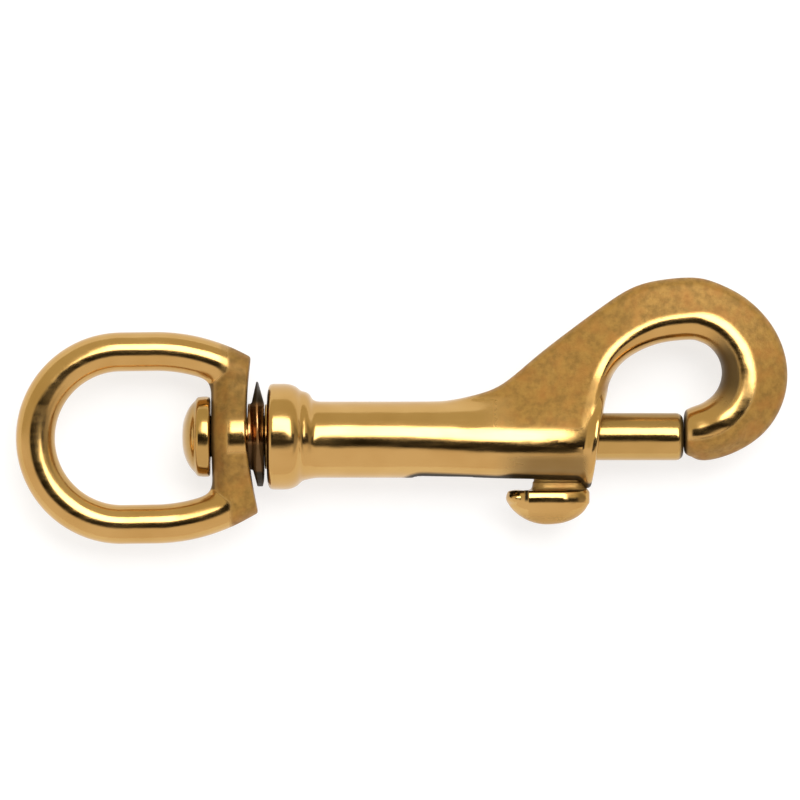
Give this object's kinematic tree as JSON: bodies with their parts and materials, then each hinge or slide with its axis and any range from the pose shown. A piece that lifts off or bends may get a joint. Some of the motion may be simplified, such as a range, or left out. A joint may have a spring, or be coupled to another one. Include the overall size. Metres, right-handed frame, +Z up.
{
  "type": "swivel eye bolt snap",
  "caption": "Cast brass bolt snap with a swivelling D-shaped eye, tubular barrel, sprung latch bolt with a thumb knob, and a swept hook that the bolt closes.",
  "frame": {"origin": "middle of the eye's opening, on the swivel and bolt axis, in the plane of the hook", "axes": "+X along the swivel and bolt axis from the eye to the hook; +Y towards the side the hook swells to, with the thumb knob on -Y; +Z up out of the snap's flat, perpendicular to the hook's plane"},
  "size_m": [0.0899, 0.0309, 0.0124],
  "materials": {
    "cast_brass": "cast brass, tumbled and polished on the high places",
    "turned_brass": "turned and polished",
    "aged_brass": "dark, aged",
    "spring_steel": "drawn wire"
  },
  "bodies": {
    "hook": {"hook_body": "cast_brass", "swivel_stud": "turned_brass", "bolt_spring": "spring_steel"},
    "bolt": {"latch_bolt": "turned_brass", "thumb_knob": "cast_brass"},
    "eye": {"swivel_eye": "cast_brass"},
    "washer": {"thrust_washer": "aged_brass"}
  },
  "joints": [
    {"name": "bolt_slide", "type": "slide", "parent": "hook", "child": "bolt", "axis": [-1, 0, 0], "range_m": [0, 0.014], "stiffness_N_per_m": 600, "springref_m": -0.01, "deforming": ["bolt_spring"]},
    {"name": "eye_swivel", "type": "hinge", "parent": "hook", "child": "eye", "pos_m": [0.0115, 0, 0], "axis": [1, 0, 0], "continuous": true},
    {"name": "washer_turn", "type": "hinge", "parent": "hook", "child": "washer", "pos_m": [0.01445, 0, 0], "axis": [1, 0, 0], "continuous": true}
  ]
}
